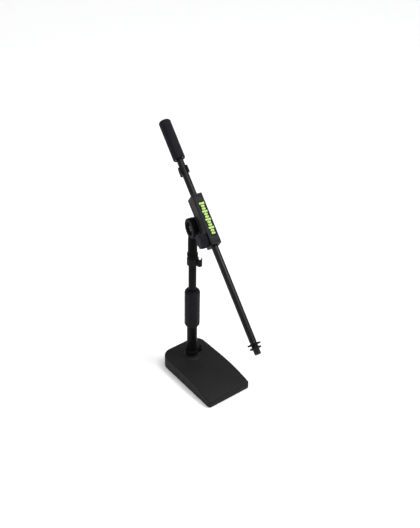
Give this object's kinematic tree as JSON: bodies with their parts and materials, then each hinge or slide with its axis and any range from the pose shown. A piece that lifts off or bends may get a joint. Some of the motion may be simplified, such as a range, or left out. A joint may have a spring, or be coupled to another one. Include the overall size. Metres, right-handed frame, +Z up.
{
  "type": "desktop microphone stand",
  "caption": "Desktop microphone stand: weighted cast base, telescoping column with twist clutch, and a tilting boom in a clamp block with a counterweight at its tail.",
  "frame": {"origin": "centre of the rubber pad's bottom face, on the desk", "axes": "+Z up the column, +X from the rear of the base to its thin front edge, +Y to the left seen from behind"},
  "size_m": [0.4859, 0.1261, 0.6148],
  "materials": {
    "casting": "charcoal powder-coated casting",
    "pad": "matt black foam rubber",
    "tube": "satin black coated steel tube",
    "rubber": "soft-touch black rubber",
    "plastic": "moulded black plastic, fine texture",
    "casting_black": "black powder-coated die casting",
    "steel": "zinc-plated steel",
    "steel_black": "black-coated steel",
    "nylon": "dark grey nylon",
    "lime": "lime green print"
  },
  "bodies": {
    "stand_base": {"base_weight": "casting", "base_pad": "pad", "base_bolt": "steel", "base_washer": "steel", "pole_foot_plug": "steel", "pole_foot_ring": "plastic", "lower_tube": "tube", "tube_guide": "nylon", "clutch_collet": "nylon"},
    "base_clip": {"base_cable_clip": "plastic"},
    "clutch": {"clutch_core": "plastic", "clutch_grip": "rubber"},
    "riser": {"upper_tube": "tube", "tube_stop": "nylon", "column_cap": "plastic"},
    "column_clip": {"column_cable_clip": "plastic"},
    "swivel": {"swivel_neck": "casting_black", "swivel_stud": "steel", "tilt_bolt": "steel_black", "friction_disc": "nylon", "tilt_washer": "steel_black", "tilt_nut": "steel_black"},
    "boom_block": {"block_shell": "plastic", "block_cap_front": "plastic", "block_cap_rear": "plastic", "liner_rear": "nylon", "liner_front": "nylon", "clamp_shoe": "nylon", "knob_washer": "steel_black", "badge_plate": "plastic", "badge_bars": "lime", "tilt_lug": "casting_black", "lug_screw_1": "steel_black", "lug_screw_2": "steel_black"},
    "knob": {"clamp_knob": "rubber", "knob_cap": "plastic", "knob_screw": "steel_black"},
    "boom": {"boom_tube": "tube", "thread_stud": "steel_black", "tail_plug": "nylon", "counterweight_core": "steel", "counterweight_sleeve": "rubber"},
    "wing": {"lock_wing": "plastic"},
    "ring": {"lock_ring": "plastic"},
    "boom_clip": {"boom_cable_clip": "plastic"}
  },
  "joints": [
    {"name": "clutch_twist", "type": "hinge", "parent": "stand_base", "child": "clutch", "pos_m": [-0.05, 0, 0.185], "axis": [0, 0, 1], "range_deg": [0, 120]},
    {"name": "height_slide", "type": "slide", "parent": "stand_base", "child": "riser", "axis": [0, 0, 1], "range_m": [-0.062, 0.04]},
    {"name": "boom_swivel", "type": "hinge", "parent": "riser", "child": "swivel", "pos_m": [-0.05, 0, 0.345], "axis": [0, 0, 1], "range_deg": [-180, 180]},
    {"name": "boom_tilt", "type": "hinge", "parent": "swivel", "child": "boom_block", "pos_m": [-0.05, 0, 0.421], "axis": [-0.1908, -0.9816, 0], "range_deg": [-25, 80]},
    {"name": "clamp_knob_turn", "type": "hinge", "parent": "boom_block", "child": "knob", "pos_m": [0.01472, -0.01258, 0.42772], "axis": [-0.1908, -0.9816, 0], "continuous": true},
    {"name": "boom_slide", "type": "slide", "parent": "boom_block", "child": "boom", "axis": [0.8021, -0.1559, -0.5764], "range_m": [-0.12, 0.04]},
    {"name": "lock_wing_turn", "type": "hinge", "parent": "boom", "child": "wing", "pos_m": [0.22694, -0.03855, 0.27727], "axis": [0.8021, -0.1559, -0.5764], "continuous": true},
    {"name": "lock_ring_turn", "type": "hinge", "parent": "boom", "child": "ring", "pos_m": [0.23416, -0.03995, 0.27209], "axis": [0.8021, -0.1559, -0.5764], "continuous": true},
    {"name": "base_clip_turn", "type": "hinge", "parent": "stand_base", "child": "base_clip", "pos_m": [-0.05, 0, 0.048], "axis": [0, 0, 1], "continuous": true},
    {"name": "column_clip_turn", "type": "hinge", "parent": "riser", "child": "column_clip", "pos_m": [-0.05, 0, 0.33], "axis": [0, 0, 1], "continuous": true},
    {"name": "boom_clip_turn", "type": "hinge", "parent": "boom", "child": "boom_clip", "pos_m": [-0.12439, 0.02974, 0.52975], "axis": [0.8021, -0.1559, -0.5764], "continuous": true}
  ]
}
